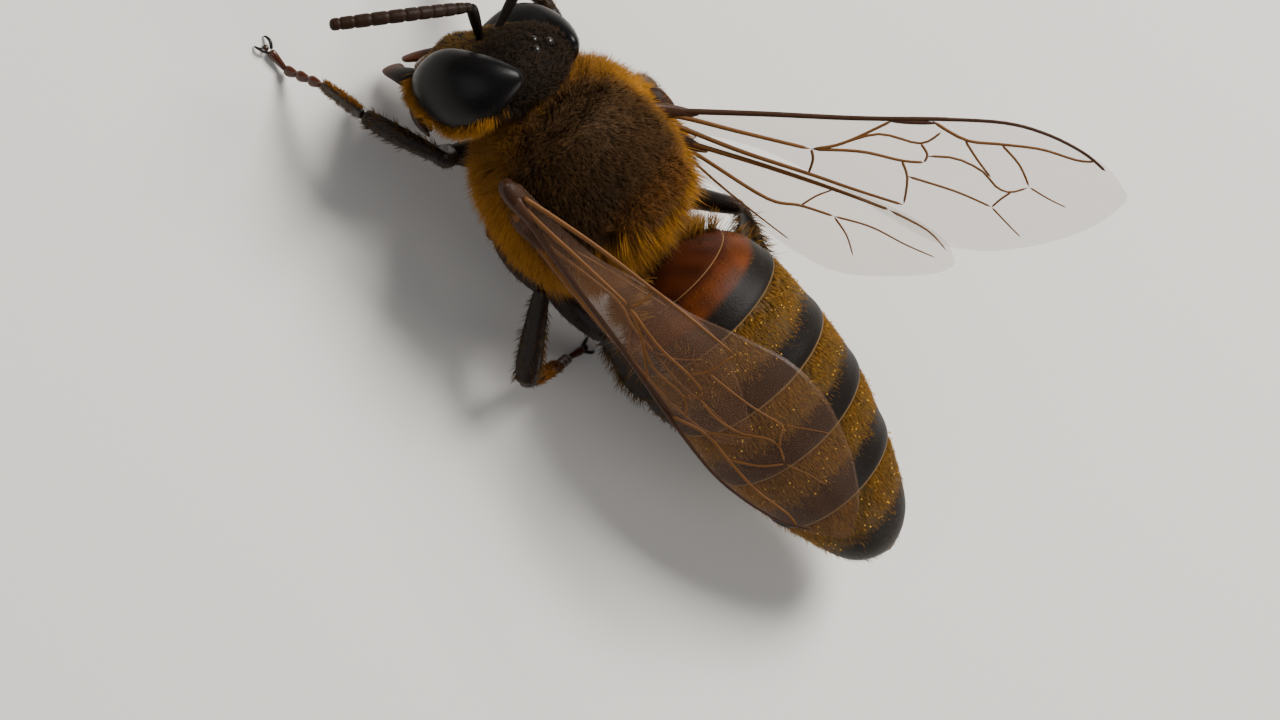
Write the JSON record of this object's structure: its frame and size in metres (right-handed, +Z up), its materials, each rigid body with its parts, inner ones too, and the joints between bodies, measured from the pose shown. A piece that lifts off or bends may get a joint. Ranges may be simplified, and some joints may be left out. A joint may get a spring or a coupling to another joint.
{
  "type": "honey bee",
  "caption": "Life-size worker honey bee standing with one pair of wings spread and the other folded back, as a still natural history model.",
  "frame": {"origin": "on the floor under the middle of the overall box", "axes": "+Z up; the bee faces -Y, so +Y runs back along the body to the tip of the abdomen; +X is the bee's left"},
  "size_m": [0.0104, 0.0172, 0.0074],
  "materials": {
    "black_shell": "black-brown shell of the head and antennae, satin",
    "amber_shell": "amber to dark red shell, satin",
    "banded_shell": "black shell with bands of short golden hair",
    "coat": "dense brown and golden coat of hair",
    "eye_lens": "black faceted eye, cool highlights",
    "leg_shell": "black-brown shell with golden hair",
    "wing_film": "clear amber-tinted film with brown veins",
    "tongue": "red-brown, satin"
  },
  "bodies": {
    "root": {"head": "black_shell", "eye_left": "eye_lens", "eye_right": "eye_lens", "mandible_left": "amber_shell", "mandible_right": "amber_shell", "tongue": "tongue", "antenna_left_scape": "black_shell", "antenna_left_flagellum": "black_shell", "antenna_right_scape": "black_shell", "antenna_right_flagellum": "black_shell", "thorax_pronotum": "coat", "thorax_middle": "coat", "thorax_scutellum": "coat", "thorax_propodeum": "coat", "abdomen_segment_1": "amber_shell", "abdomen_segment_2": "amber_shell", "abdomen_segment_3": "banded_shell", "abdomen_segment_4": "banded_shell", "abdomen_segment_5": "banded_shell", "abdomen_segment_6": "banded_shell", "wing_right_fore": "wing_film", "wing_right_hind": "wing_film", "wing_left_fore": "wing_film", "wing_left_hind": "wing_film", "tegula_left": "amber_shell", "tegula_right": "amber_shell", "leg_front_left_coxa": "leg_shell", "leg_front_left_femur": "leg_shell", "leg_front_left_tibia": "leg_shell", "leg_front_left_tarsus": "leg_shell", "leg_middle_left_coxa": "leg_shell", "leg_middle_left_femur": "leg_shell", "leg_middle_left_tibia": "leg_shell", "leg_middle_left_tarsus": "leg_shell", "leg_hind_left_coxa": "leg_shell", "leg_hind_left_femur": "leg_shell", "leg_hind_left_tibia": "leg_shell", "leg_hind_left_tarsus": "leg_shell", "leg_front_right_coxa": "leg_shell", "leg_front_right_femur": "leg_shell", "leg_front_right_tibia": "leg_shell", "leg_front_right_tarsus": "leg_shell", "leg_middle_right_coxa": "leg_shell", "leg_middle_right_femur": "leg_shell", "leg_middle_right_tibia": "leg_shell", "leg_middle_right_tarsus": "leg_shell", "leg_hind_right_coxa": "leg_shell", "leg_hind_right_femur": "leg_shell", "leg_hind_right_tibia": "leg_shell", "leg_hind_right_tarsus": "leg_shell"}
  },
  "joints": []
}
